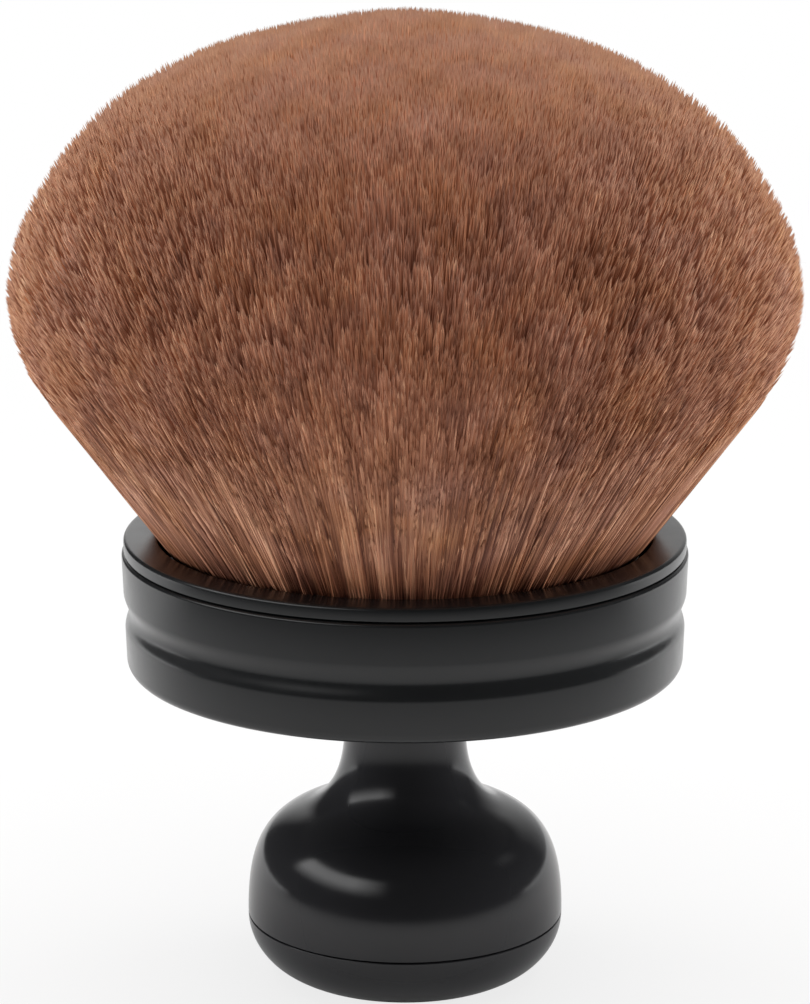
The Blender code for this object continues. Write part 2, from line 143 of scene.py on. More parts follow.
def turned(name, corners, steps=TURN_STEPS):
    """A turned piece. Its outline starts and ends on the axis, or else closes into a ring."""
    points = outline_through(corners)
    if points[0].x > 0:
        points.append(points[0])
    deselect()
    bpy.ops.mesh.primitive_plane_add(size=MM)
    piece = bpy.context.object
    piece.name = name
    piece.data.name = name
    bpy.ops.object.mode_set(mode="EDIT")
    bpy.ops.mesh.select_all(action="SELECT")
    bpy.ops.mesh.merge(type="CENTER")
    here = Vector((points[0].x, 0, points[0].y))
    bpy.ops.transform.translate(value=here)
    for point in points[1:]:
        there = Vector((point.x, 0, point.y))
        bpy.ops.mesh.extrude_region_move(TRANSFORM_OT_translate={"value": there - here})
        here = there
    bpy.ops.mesh.select_all(action="SELECT")
    bpy.ops.mesh.spin(steps=steps, angle=math.tau, center=(0, 0, 0), axis=AXIS)
    bpy.ops.mesh.select_all(action="SELECT")
    bpy.ops.mesh.remove_doubles(threshold=WELD)
    bpy.ops.mesh.normals_make_consistent(inside=False)
    bpy.ops.object.mode_set(mode="OBJECT")
    bpy.ops.object.shade_smooth_by_angle(angle=SMOOTH_ANGLE)
    return piece


# %% Dress a piece and let it ride
def dress(piece, finish, slot, *stands_for):
    """Gives the piece its finish, and lets it ride for the nodes that it stands for. The slot is not
    used.
    """
    piece.data.materials.clear()
    piece.data.materials.append(finish)
    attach(piece, "root")
    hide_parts(*stands_for)
    triangles = sum(len(face.vertices) - 2 for face in piece.data.polygons)
    print(piece.name, "has", triangles, "triangles")


# %% [markdown]
# ## Sums in a material
# A finish is mostly small sums on noise. Written as Python they stay readable, so one class wraps
# an output, and its operators add the Math nodes. Every other node comes from one method.

# %% A small language for finishes
class Flow:
    """An output of a node. A sum of it adds the Math node that works it out."""

    def __init__(self, tree, socket):
        self.tree = tree
        self.socket = socket

    def node(self, kind, settings, inputs, output=0):
        """Adds one node: its settings first, then values or other outputs for its sockets."""
        made = self.tree.nodes.new(kind)
        for key, value in settings.items():
            if key == "stops":
                while len(made.color_ramp.elements) < len(value):
                    made.color_ramp.elements.new(1)
                for element, (place, colour) in zip(made.color_ramp.elements, value):
                    element.position = place
                    element.color = colour
            else:
                setattr(made, key, value)
        for key, value in inputs.items():
            if isinstance(value, Flow):
                self.tree.links.new(value.socket, made.inputs[key])
            else:
                made.inputs[key].default_value = value
        return Flow(self.tree, made.outputs[output])

    def work(self, operation, first, second):
        return self.node("ShaderNodeMath", {"operation": operation}, {0: first, 1: second})

    def __add__(self, other):
        return self.work("ADD", self, other)

    def __sub__(self, other):
        return self.work("SUBTRACT", self, other)

    def __rsub__(self, other):
        return self.work("SUBTRACT", other, self)

    def __mul__(self, other):
        return self.work("MULTIPLY", self, other)

    __radd__ = __add__
    __rmul__ = __mul__

    def held(self):
        """The same value, kept between 0 and 1."""
        return self.node("ShaderNodeClamp", {}, {"Value": self})


# %% Colours and noise
WHITE = 255


def paint(*colour):
    """An sRGB colour out of 255, as a shader takes it."""
    shares = [channel / WHITE for channel in colour]
    return (*Color(shares).from_srgb_to_scene_linear(), 1)


def mixed(share, first, second):
    """One colour turning into another as the share goes from 0 to 1."""
    inputs = {"Factor": share, "A": first, "B": second}
    return share.node("ShaderNodeMix", {"data_type": "RGBA"}, inputs, 2)


def grain(place, size, detail=2.0):
    """Noise from 0 to 1, whose patches are about this large."""
    inputs = {"Vector": place, "Scale": 1 / size, "Detail": detail}
    return place.node("ShaderNodeTexNoise", {}, inputs)


def bumped(height, depth):
    """A normal from a height from 0 to 1, which stands for this depth."""
    return height.node("ShaderNodeBump", {}, {"Height": height, "Distance": depth})


# %% Start a finish and feed its shader
def finish_named(name, **values):
    """A new finish: its place on the piece as an output, and its shader with the even values set."""
    made = bpy.data.materials.new(name)
    made.use_nodes = True
    shader = made.node_tree.nodes["Principled BSDF"]
    for socket, value in values.items():
        shader.inputs[socket.replace("_", " ")].default_value = value
    start = Flow(made.node_tree, None)
    place = start.node("ShaderNodeTexCoord", {}, {}, "Object")
    return made, shader, place


def feed(shader, **flows):
    """Links the outputs to the shader's sockets."""
    for socket, flow in flows.items():
        flow.tree.links.new(flow.socket, shader.inputs[socket.replace("_", " ")])


def cover(shader, share, dark, pale, rough, height, depth):
    """Feeds the shader two shades, a roughness, and a height that stands for this depth."""
    colours = mixed(share, paint(*dark), paint(*pale))
    feed(shader, Base_Color=colours, Roughness=rough, Normal=bumped(height, depth))


# %% [markdown]
# ## Black mouldings
# The ferrule and its ring are satin: a fine texture in the mould spreads each reflection a little.
# The knob is polished, so it shows soft boxes with clear edges. Both are black all through, and
# what makes them look real is how roughness wanders and how handling leaves faint marks.

# %% Satin black and gloss black
PLASTIC_IOR = 1.46
CLOUD_SIZE = 9 * MM
CLOUD_PALER = 4
MARK_SIZE = 1.6 * MM
MARK_DETAIL = 4.0
SATIN_COLOUR = (24, 25, 26)
GLOSS_COLOUR = (30, 30, 32)


def black_moulding(name, colour, roughness, wander, texture_size, texture_depth):
    """Moulded black plastic, whose roughness wanders by this much in clouds and in marks."""
    made, shader, place = finish_named(name, IOR=PLASTIC_IOR)
    cloud = grain(place, CLOUD_SIZE)
    marks = grain(place, MARK_SIZE, MARK_DETAIL)
    paler = [channel + CLOUD_PALER for channel in colour]
    rough = roughness + wander * (cloud - 0.5) + wander * (marks - 0.5)
    texture = grain(place, texture_size)
    cover(shader, cloud, colour, paler, rough, texture, texture_depth)
    return made


satin_black = black_moulding(
    "satin_moulding", SATIN_COLOUR, 0.23, wander=0.08, texture_size=0.16 * MM, texture_depth=0.0012 * MM
)
gloss_black = black_moulding(
    "gloss_moulding", GLOSS_COLOUR, 0.15, wander=0.07, texture_size=2.5 * MM, texture_depth=0.004 * MM
)
print("Finishes:", satin_black.name, gloss_black.name)

# %% [markdown]
# ## The trim ring
# The ring closes the gap between fibres and ferrule. Its flat top catches the backdrop, and its
# two small roundings draw the bright lines that run round the brush. A skirt drops inside the
# ferrule and centres it, so it is turned as one section with its step.

# %% Turn the trim ring
RING_BORE = 21.95 * MM
SKIRT_RADIUS = 23.2 * MM
RING_ROUND = 0.35 * MM
SKIRT_ROUND = 0.15 * MM

ring_edge = parting + HAIRLINE / 2
trim_ring = turned(
    "trim_ring",
    [
        (RING_BORE, rim, RING_ROUND),
        (ring_high.x, rim, RING_ROUND),
        (ring_high.x, ring_edge, SKIRT_ROUND),
        (SKIRT_RADIUS, ring_edge, 0),
        (SKIRT_RADIUS, ring_low.z, SKIRT_ROUND),
        (RING_BORE, ring_low.z, SKIRT_ROUND),
    ],
)
dress(trim_ring, satin_black, "satin_black", "top_ring")

# %% [markdown]
# ## The ferrule
# The ferrule is a shallow drum with one smooth groove round it. The groove's upper half faces the
# floor and shines, and its lower half faces up and stays dark: together they draw the two bands in
# the photograph. A squared sine gives that hollow, with no crease where it leaves the wall.

# %% Draw the groove
FERRULE_FOOT = 24.8 * MM
GROOVE_HEIGHT = 34.4 * MM
GROOVE_WIDTH = 3.4 * MM
GROOVE_DEPTH = 0.4 * MM
GROOVE_STEPS = 28

wall_top = parting - HAIRLINE / 2
taper = (ferrule_high.x - FERRULE_FOOT) / (wall_top - ferrule_low.z)
groove = []
for step in range(GROOVE_STEPS + 1):
    share = step / GROOVE_STEPS
    height = GROOVE_HEIGHT + GROOVE_WIDTH * (0.5 - share)
    wall = FERRULE_FOOT + taper * (height - ferrule_low.z)
    groove.append((wall - GROOVE_DEPTH * math.sin(math.pi * share) ** 2, height, 0))
print("The wall leans out by", in_mm(ferrule_high.x - FERRULE_FOOT)[0], "mm over its height")

# %% Turn the ferrule
FERRULE_BORE = 23.5 * MM
FERRULE_FLOOR = 2.0 * MM
FOOT_ROUND = 1.0 * MM
LIP_ROUND = 0.3 * MM
SPIGOT_RADIUS = 3.9 * MM
SPIGOT_LENGTH = 1.2 * MM
BOLT_HOLE = 1.8 * MM
BOSS_RADIUS = 5.2 * MM
SEAT_RADIUS = 21.0 * MM
SEAT_WALL = 2.0 * MM
SEAT_RISE = 2.9 * MM

floor_top = ferrule_low.z + FERRULE_FLOOR
seat_top = floor_top + SEAT_RISE
spigot_hole_top = ferrule_low.z + SPIGOT_LENGTH + CLEARANCE
ferrule_body = turned(
    "ferrule_body",
    [
        (ferrule_high.x, wall_top, LIP_ROUND),
        *groove,
        (FERRULE_FOOT, ferrule_low.z, FOOT_ROUND),
        (SPIGOT_RADIUS + CLEARANCE, ferrule_low.z, 0),
        (SPIGOT_RADIUS + CLEARANCE, spigot_hole_top, 0),
        (BOLT_HOLE, spigot_hole_top, 0),
        (BOLT_HOLE, seat_top, 0),
        (BOSS_RADIUS, seat_top, SKIRT_ROUND),
        (BOSS_RADIUS, floor_top, SKIRT_ROUND),
        (SEAT_RADIUS - SEAT_WALL, floor_top, SKIRT_ROUND),
        (SEAT_RADIUS - SEAT_WALL, seat_top, SKIRT_ROUND),
        (SEAT_RADIUS, seat_top, SKIRT_ROUND),
        (SEAT_RADIUS, floor_top, SKIRT_ROUND),
        (FERRULE_BORE, floor_top, SKIRT_ROUND),
        (FERRULE_BORE, wall_top, SKIRT_ROUND),
    ],
)

# %% Cut the pocket for the nut
BOSS_WEB = 0.8 * MM
NUT_SIDES = 6
NUT_ACROSS_FLATS = 5.5 * MM


def modified(piece, kind, **settings):
    """Adds one modifier to the piece and applies it."""
    deselect()
    piece.select_set(True)
    bpy.context.view_layer.objects.active = piece
    modifier = piece.modifiers.new(kind.title(), kind)
    for key, value in settings.items():
        setattr(modifier, key, value)
    bpy.ops.object.modifier_apply(modifier=modifier.name)


deselect()
bpy.ops.mesh.primitive_cylinder_add(
    vertices=NUT_SIDES,
    radius=(NUT_ACROSS_FLATS / 2 + CLEARANCE) / math.cos(math.pi / NUT_SIDES),
    depth=2 * (seat_top - spigot_hole_top - BOSS_WEB),
    location=(0, 0, seat_top),
)
pocket = bpy.context.object
modified(ferrule_body, "BOOLEAN", object=pocket, operation="DIFFERENCE", solver="EXACT")
bpy.data.objects.remove(pocket)
bpy.ops.object.mode_set(mode="EDIT")
bpy.ops.mesh.select_all(action="SELECT")
bpy.ops.mesh.remove_doubles(threshold=WELD)
bpy.ops.mesh.dissolve_degenerate(threshold=WELD)
bpy.ops.object.mode_set(mode="OBJECT")
dress(ferrule_body, satin_black, "satin_black", "ferrule_shell")

# %% [markdown]
# ## The knob and its base cap
# The knob is one hollow moulding: a slim neck sweeps into a round shoulder and down to a seam,
# where the base cap snaps in. Two Bezier curves hold that line, one for the hollow sweep and one
# for the crown, with a shared slope where they meet so that no highlight breaks there.

# %% Draw the knob's line
NECK_RADIUS = 5.5 * MM
NECK_FOOT = 22.45 * MM
SHOULDER_RADIUS = 9.15 * MM
SHOULDER_HEIGHT = 15.46 * MM
SHOULDER_SLOPE = math.radians(21)
NECK_HANDLE_SHARE = 0.37
SWEEP_HANDLE_SHARE = 0.84
CROWN_HANDLE_SHARE = 0.75
SIDE_HANDLE_SHARE = 0.63
CURVE_STEPS = 28

slope = Vector((math.cos(SHOULDER_SLOPE), -math.sin(SHOULDER_SLOPE)))
down = Vector((0, -1))
neck = Vector((NECK_RADIUS, NECK_FOOT))
shoulder = Vector((SHOULDER_RADIUS, SHOULDER_HEIGHT))
side = Vector((knob_high.x, knob_low.z))
sweep = interpolate_bezier(
    neck,
    neck + down * (neck.y - shoulder.y) * NECK_HANDLE_SHARE,
    shoulder - slope * (shoulder.x - neck.x) * SWEEP_HANDLE_SHARE,
    shoulder,
    CURVE_STEPS,
)
crown = interpolate_bezier(
    shoulder,
    shoulder + slope * (side.x - shoulder.x) * CROWN_HANDLE_SHARE,
    side - down * (shoulder.y - side.y) * SIDE_HANDLE_SHARE,
    side,
    CURVE_STEPS,
)
outside = [point.xy for point in sweep[:-1] + crown]
print("The knob's line has", len(outside), "points")

# %% Hollow the knob and draw its snap ridge
KNOB_WALL = 2.0 * MM
WELL_RADIUS = 3.6 * MM
SNAP_DEPTH = 0.35 * MM
SNAP_HEIGHT = 7.4 * MM
EDGE_ROUND = 0.1 * MM

bore = side.x - KNOB_WALL
inside = []
for before, point, after in zip(outside, outside[1:], outside[2:]):
    along = (after - before).normalized()
    inner = point + Vector((along.y, -along.x)) * KNOB_WALL
    if inner.x > WELL_RADIUS and inner.y > cap_high.z + CLEARANCE:
        inside.append((*inner, 0))


def snap_ridge(radius):
    """The corners of the ridge that holds the cap, from the top down, as it lies on this radius."""
    return [
        (radius, SNAP_HEIGHT + SNAP_DEPTH, 0),
        (radius + SNAP_DEPTH, SNAP_HEIGHT, EDGE_ROUND),
        (radius, SNAP_HEIGHT - SNAP_DEPTH, 0),
    ]


print("The hollow's line has", len(inside), "points")

# %% Turn the knob
WEB_HEIGHT = 19.0 * MM

knob_body = turned(
    "knob_body",
    [
        (SPIGOT_RADIUS, knob_high.z, EDGE_ROUND),
        (SPIGOT_RADIUS, ferrule_low.z - HAIRLINE, 0),
        (NECK_RADIUS, ferrule_low.z - HAIRLINE, EDGE_ROUND),
        *((*point, 0) for point in outside[:-1]),
        (side.x, seam + HAIRLINE / 2, EDGE_ROUND),
        (bore, seam + HAIRLINE / 2, 0),
        *reversed(snap_ridge(bore)),
        (bore, inside[-1][1], 0),
        *reversed(inside),
        (WELL_RADIUS, inside[0][1], 0),
        (WELL_RADIUS, WEB_HEIGHT, 0),
        (BOLT_HOLE, WEB_HEIGHT, 0),
        (BOLT_HOLE, knob_high.z, 0),
    ],
)
dress(knob_body, gloss_black, "gloss_black", "knob_shell")

# %% Turn the base cap
BASE_RADIUS = 8.0 * MM
CAP_FLOOR = 1.8 * MM
CAP_WALL = 1.5 * MM

cap_edge = seam - HAIRLINE / 2
rim_radius = bore - CLEARANCE
corner = []
for step in range(1, CURVE_STEPS):
    turn = math.pi / 2 * step / CURVE_STEPS
    across = BASE_RADIUS + (cap_high.x - BASE_RADIUS) * math.cos(turn)
    corner.append((across, cap_edge * (1 - math.sin(turn)), 0))
base_cap = turned(
    "base_cap",
    [
        (0, CAP_FLOOR, 0),
        (rim_radius - CAP_WALL, CAP_FLOOR, SKIRT_ROUND),
        (rim_radius - CAP_WALL, cap_high.z, EDGE_ROUND),
        (rim_radius, cap_high.z, EDGE_ROUND),
        *snap_ridge(rim_radius),
        (rim_radius, cap_edge, 0),
        (cap_high.x, cap_edge, EDGE_ROUND),
        *corner,
        (BASE_RADIUS, 0, 0),
        (0, 0, 0),
    ],
)
dress(base_cap, gloss_black, "gloss_black", "knob_base_cap")

# %% [markdown]
# ## What the brush hides
# Inside, a cup holds the bound roots, a bead of adhesive holds the cup, and a screw, a washer and
# a nut clamp the ferrule to the neck over a steel weight. Their solids have the right shapes, so
# they stay and only get real finishes: turned and drawn metal, and poured resin.

# %% Worked metal
RING_STRETCH = (0.12, 0.12, 1)
WORK_DETAIL = 3.0
DULL_SIZE = 3 * MM
MARK_WANDER = 0.16
DULL_WANDER = 0.14


def metal(name, dark, pale, roughness, mark_size, depth):
    """Worked metal: fine rings left by the tool, and a dulling that wanders over it."""
    made, shader, place = finish_named(name, Metallic=1.0)
    rings = place.node("ShaderNodeMapping", {}, {"Vector": place, "Scale": RING_STRETCH})
    marks = grain(rings, mark_size, WORK_DETAIL)
    cloud = grain(place, DULL_SIZE)
    rough = roughness + MARK_WANDER * (marks - 0.5) + DULL_WANDER * (cloud - 0.5)
    cover(shader, cloud, dark, pale, rough, marks, depth)
    return made


# %% Poured resin and adhesive
FINE_SHARE = 0.2
FINE_WANDER = 0.2
FINE_WAVE_SHARE = 0.3


def poured(name, dark, pale, roughness, blot_size, depth):
    """A set liquid: slow waves on its surface, and small clouds in its colour."""
    made, shader, place = finish_named(name)
    cloud = grain(place, blot_size, WORK_DETAIL)
    fine = grain(place, blot_size * FINE_SHARE, WORK_DETAIL)
    rough = roughness + FINE_WANDER * (fine - 0.5)
    cover(shader, cloud, dark, pale, rough, cloud + FINE_WAVE_SHARE * fine, depth)
    return made


# %% Finish the hidden pieces
# Each line: the kind, the name, two shades, roughness, and the size and depth of marks in mm.
hidden_finishes = {
    "bristle_cup": (metal, "drawn_aluminium", (178, 181, 184), (208, 210, 212), 0.36, 0.2, 0.004),
    "knob_ballast": (metal, "zinc_steel", (136, 139, 144), (166, 168, 172), 0.38, 0.3, 0.01),
    "handle_screw": (metal, "screw_steel", (132, 134, 139), (170, 172, 175), 0.3, 0.12, 0.004),
    "screw_washer": (metal, "washer_steel", (140, 142, 147), (172, 174, 178), 0.32, 0.15, 0.003),
    "captive_nut": (metal, "turned_brass", (180, 146, 78), (208, 176, 106), 0.28, 0.12, 0.004),
    "root_resin": (poured, "root_resin", (176, 138, 70), (210, 176, 108), 0.22, 2, 0.06),
    "cup_adhesive": (poured, "cup_adhesive", (208, 202, 186), (228, 224, 214), 0.5, 3, 0.1),
}
for node, (kind, name, dark, pale, roughness, size, depth) in hidden_finishes.items():
    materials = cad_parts[node].data.materials
    materials.clear()
    materials.append(kind(name, dark, pale, roughness, size * MM, depth * MM))
    print(node, "is finished as", name)

# %% [markdown]
# ## The binding
# Fused roots are tied with thread before they go into the cup, as a broom's are. The thread is
# one round section, wound by a Screw modifier in close turns, and a second layer lies in the
# grooves of the first.

# %% Wind one layer of thread
THREAD_RADIUS = 0.11 * MM
THREAD_SIDES = 10
THREAD_STEPS = 220


def thread_layer(radius, bottom, turns):
    """Close turns of thread that start at this radius and height."""
    deselect()
    bpy.ops.mesh.primitive_circle_add(
        vertices=THREAD_SIDES,
        radius=THREAD_RADIUS,
        location=(radius, 0, bottom + THREAD_RADIUS),
        rotation=(math.pi / 2, 0, 0),
    )
    layer = bpy.context.object
    bpy.ops.object.transform_apply(location=True, rotation=True)
    modified(
        layer,
        "SCREW",
        axis="Z",
        angle=math.tau * turns,
        screw_offset=2 * THREAD_RADIUS * turns,
        steps=THREAD_STEPS * turns,
        render_steps=THREAD_STEPS * turns,
    )
    bpy.ops.object.mode_set(mode="EDIT")
    bpy.ops.mesh.select_all(action="DESELECT")
    bpy.ops.mesh.select_non_manifold()
    bpy.ops.mesh.fill_holes(sides=0)
    bpy.ops.mesh.select_all(action="SELECT")
    bpy.ops.mesh.normals_make_consistent(inside=False)
    bpy.ops.object.mode_set(mode="OBJECT")
    bpy.ops.object.shade_smooth_by_angle(angle=SMOOTH_ANGLE * 2)
    return layer


# %% Lay the second layer in the grooves of the first
ROOT_RADIUS = 18.97 * MM
THREAD_TURNS = 3

binding_low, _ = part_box("root_binding")
thread_start = ROOT_RADIUS + 2 * CLEARANCE
layer_rise = 2 * THREAD_RADIUS * math.sin(math.pi / 3)
root_thread = thread_layer(thread_start, binding_low.z, THREAD_TURNS)
second_start = binding_low.z + THREAD_RADIUS
second_layer = thread_layer(thread_start + layer_rise, second_start, THREAD_TURNS - 1)
deselect()
second_layer.select_set(True)
root_thread.select_set(True)
bpy.context.view_layer.objects.active = root_thread
bpy.ops.object.join()
root_thread.name = "root_thread"
root_thread.data.name = "root_thread"
print("The thread lies in", 2 * THREAD_TURNS - 1, "turns")

# %% Colour the thread
THREAD_DARK = (192, 180, 156)
THREAD_PALE = (224, 215, 197)
THREAD_SHEEN = 0.3
THREAD_ROUGHNESS = 0.75
FLUFF_ROUGHER = 0.2
FLUFF_SIZE = 0.09 * MM
TWIST_SHARE = 0.35
TWIST_BEND = 2.0
TWIST_DETAIL = 2.0
TWIST_DEPTH = 0.02 * MM

thread_cream, shader, place = finish_named("thread_cream", Sheen_Weight=THREAD_SHEEN)
fluff = grain(place, FLUFF_SIZE, WORK_DETAIL)
twist = place.node(
    "ShaderNodeTexWave",
    {"bands_direction": "DIAGONAL"},
    {
        "Vector": place,
        "Scale": TWIST_SHARE / THREAD_RADIUS,
        "Distortion": TWIST_BEND,
        "Detail": TWIST_DETAIL,
    },
    "Fac",
)
rough = THREAD_ROUGHNESS + FLUFF_ROUGHER * fluff
cover(shader, fluff, THREAD_DARK, THREAD_PALE, rough, twist, TWIST_DEPTH)
dress(root_thread, thread_cream, "thread", "root_binding")

# %% [markdown]
# ## The foam over the weight
# A pad of closed-cell foam keeps the weight from rattling. Pressed between the weight and the
# screw's head it bulges at the side, so its outline is a shallow barrel with soft edges, and its
# cells are a Voronoi pattern in the bump.

# %% Turn the foam pad
PAD_BULGE = 0.22 * MM
PAD_ROUND = 0.5 * MM

pad_low, pad_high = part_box("ballast_pad")
pad_middle = (pad_low.z + pad_high.z) / 2
foam_pad = turned(
    "foam_pad",
    [
        (0, pad_high.z, 0),
        (pad_high.x - PAD_BULGE, pad_high.z, PAD_ROUND),
        (pad_high.x, pad_middle, 2 * PAD_ROUND),
        (pad_high.x - PAD_BULGE, pad_low.z, PAD_ROUND),
        (0, pad_low.z, 0),
    ],
    TURN_STEPS // 3,
)

# %% Colour the foam
FOAM_DARK = (70, 72, 76)
FOAM_PALE = (104, 106, 110)
CELL_SIZE = 0.4 * MM
CELL_DEPTH = 0.12 * MM
BLOT_SIZE = 1.5 * MM
BLOT_SHARE = 0.4
FOAM_ROUGHNESS = 0.85
BLOT_ROUGHER = 0.12

foam_grey, shader, place = finish_named("foam_grey")
cells = place.node("ShaderNodeTexVoronoi", {}, {"Vector": place, "Scale": 1 / CELL_SIZE})
blots = grain(place, BLOT_SIZE)
shade = (cells + BLOT_SHARE * blots).held()
rough = FOAM_ROUGHNESS + BLOT_ROUGHER * blots
cover(shader, shade, FOAM_DARK, FOAM_PALE, rough, cells, CELL_DEPTH)
dress(foam_pad, foam_grey, "foam", "ballast_pad")

# %% [markdown]
# ## The shape of the head
# All fibres spread from one point far below the ring, as the rays of a lamp do, and their tips
# are cut to a dome. So one formula holds the whole head: how far the tips reach from that point
# at each lean. It is flat over the crown, and it falls away fast at the side.

# %% How far the fibres reach
FAN_HALF_ANGLE = math.radians(36.72)
CROWN_RISE = 46.7 * MM
SIDE_DROP = 22.1 * MM
CROWN_BEND_SHARE = 2.0
SIDE_BEND_SHARE = 0.483
RIPPLE_SHARE = 0.75
RIPPLE = 0.4 * MM

fan = np.array([0, 0, rim - (RING_BORE - CLEARANCE) / math.tan(FAN_HALF_ANGLE)])
crown_reach = rim + CROWN_RISE - fan[2]


def reach(lean):
    """How far the tips reach from the fan's point, where the fibres lean this much."""
    share = np.clip(lean / FAN_HALF_ANGLE, 0, 1)
    bend = (1 - share**CROWN_BEND_SHARE) ** SIDE_BEND_SHARE
    ripple = np.sin(math.tau * np.minimum(share / RIPPLE_SHARE, 1))
    return crown_reach - SIDE_DROP * (1 - bend) - RIPPLE * ripple


# %% Measure the dome's skin
PROFILE_STEPS = 600

profile_leans = np.linspace(0, FAN_HALF_ANGLE, PROFILE_STEPS)
profile_reach = reach(profile_leans)
profile_radius = profile_reach * np.sin(profile_leans)
profile_height = profile_reach * np.cos(profile_leans)
steps_along = np.hypot(np.diff(profile_radius), np.diff(profile_height))
ring_areas = math.tau * (profile_radius[1:] + profile_radius[:-1]) / 2 * steps_along
area_below = np.concatenate([[0], np.cumsum(ring_areas)])
print("The dome's skin is", round(area_below[-1] / MM**2), "square mm")

# %% [markdown]
# ## The heart of the tuft
# A real head holds tens of thousands of fibres, and most of each is hidden by its neighbours. Only
# the last few millimetres are modelled one by one. A core just under them stands for the packed
# shafts, down to the fused roots, and its brown is the dye darkened by painted shade, the shade
# deep among the fibres. Its streaks follow the fibres, because the noise reads only the direction
# from the fan's point.

# %% Turn the core
CORE_DEPTH = 3.8 * MM
CORE_LEAN = math.radians(34.6)
CORE_STEPS = 26
ROOT_SLICE = 1.5 * MM

core_corners = [(0, float(crown_reach) - CORE_DEPTH + fan[2], 0)]
for step in range(1, CORE_STEPS + 1):
    lean = CORE_LEAN * step / CORE_STEPS
    length = float(reach(np.array(lean * FAN_HALF_ANGLE / CORE_LEAN))) - CORE_DEPTH
    core_corners.append((length * math.sin(lean), fan[2] + length * math.cos(lean), 0))
slice_top = tuft_low.z + ROOT_SLICE
core_corners += [
    ((slice_top - fan[2]) * math.tan(CORE_LEAN), slice_top, 0),
    (ROOT_RADIUS, slice_top, 0),
    (ROOT_RADIUS, tuft_low.z, EDGE_ROUND),
    (0, tuft_low.z, 0),
]
fibre_core = turned("fibre_core", core_corners, TURN_STEPS // 2)

# %% Colour the core, darkened with painted shade
# Both shades are the fibres' dye darkened by painted shade.
CORE_DARK = (112, 62, 42)
CORE_PALE = (150, 94, 68)
STREAK_SHARE = 0.006
STREAK_DEPTH = 0.3 * MM
DULL_SPECULAR = 0.2
CORE_ROUGHNESS = 0.7
STREAK_ROUGHER = 0.2

packed_fibres_in_shade, shader, place = finish_named("packed_fibres_in_shade", Specular_IOR_Level=DULL_SPECULAR)
from_fan = place.node("ShaderNodeVectorMath", {"operation": "SUBTRACT"}, {0: place, 1: tuple(fan)})
ray = from_fan.node("ShaderNodeVectorMath", {"operation": "NORMALIZE"}, {0: from_fan})
streaks = grain(ray, STREAK_SHARE, WORK_DETAIL)
rough = CORE_ROUGHNESS + STREAK_ROUGHER * streaks
cover(shader, streaks, CORE_DARK, CORE_PALE, rough, streaks, STREAK_DEPTH)
dress(fibre_core, packed_fibres_in_shade, "fibre", "bristle_tuft")

# %% [markdown]
# ## One fibre
# A fibre is a three-sided cone with rings added, so that it keeps its thickness and tapers only
# near the tip, as the real ones do. Smooth shading makes it look round. It is modelled once, one
# unit long, and every copy stretches it to its own length.

# %% Model the fibre once
# Each ring: its height and its width, as shares of the length and of the thickness.
TIP_RINGS = [(0.78, 1.0)]
LONG_RINGS = [(0.92, 0.8), (0.6, 1.0), (0.3, 1.0)]
RING_REACH = 1e-4


def model_fibre(rings):
    """One fibre as corners and faces."""
    deselect()
    bpy.ops.mesh.primitive_cone_add(vertices=3, radius1=1, radius2=0, depth=1, location=(0, 0, 0.5))
    fibre = bpy.context.object
    bpy.ops.object.transform_apply(location=True)
    for height, width in rings:
        bpy.ops.object.mode_set(mode="EDIT")
        bpy.ops.mesh.select_all(action="SELECT")
        bpy.ops.mesh.bisect(plane_co=(0, 0, height), plane_no=AXIS)
        bpy.ops.object.mode_set(mode="OBJECT")
        for corner in fibre.data.vertices:
            corner.select = abs(corner.co.z - height) < RING_REACH
        now = max(corner.co.xy.length for corner in fibre.data.vertices if corner.select)
        bpy.ops.object.mode_set(mode="EDIT")
        bpy.ops.transform.resize(value=(width / now, width / now, 1), center_override=(0, 0, height))
        bpy.ops.object.mode_set(mode="OBJECT")
    corners = np.array([corner.co for corner in fibre.data.vertices])
    faces = [list(face.vertices) for face in fibre.data.polygons]
    mesh = fibre.data
    bpy.data.objects.remove(fibre)
    bpy.data.meshes.remove(mesh)
    return corners, faces


tip_fibre = model_fibre(TIP_RINGS)
long_fibre = model_fibre(LONG_RINGS)
for corners, faces in (tip_fibre, long_fibre):
    print("A fibre has", sum(len(face) - 2 for face in faces), "triangles")

# %% [markdown]
# ## Where each fibre ends
# The tips are spread evenly over the dome's skin by the golden angle, as seeds are in a sunflower,
# and then jittered. Away from the crown they gather into narrow locks, each cut to its own length,
# with slits between. One fibre in a few keeps its full length and lies over the shorter ones as a
# long streak: that is what makes the middle of the head look combed. The crown is cut even and
# stays soft. At the side the roots dive under the long fibres that come later.

# %% Aim from the fan's point
def eased(value, start, end):
    """Rises smoothly from 0 to 1 while the value goes from start to end."""
    share = np.clip((value - start) / (end - start), 0, 1)
    return share * share * (3 - 2 * share)


def rays(leans, turns):
    """The unit directions that lean this much, at these turns about the axis."""
    across = np.sin(leans)
    return np.stack([across * np.cos(turns), across * np.sin(turns), np.cos(leans)], axis=1)


def on_dome(directions, cuts=0):
    """The places on the dome along these directions, less what is cut off, and their leans."""
    leans = np.arctan2(np.hypot(directions[:, 0], directions[:, 1]), directions[:, 2])
    leans = np.minimum(leans, FAN_HALF_ANGLE)
    straight = rays(leans, np.arctan2(directions[:, 1], directions[:, 0]))
    return fan + straight * (reach(leans) - cuts)[:, None], leans


# %% Spread places, and let them wander
SEED = 7
GOLDEN_ANGLE = math.pi * (3 - math.sqrt(5))
SEED_STEP = np.array([17.3, 5.1, 9.7])

chance = np.random.default_rng(SEED)


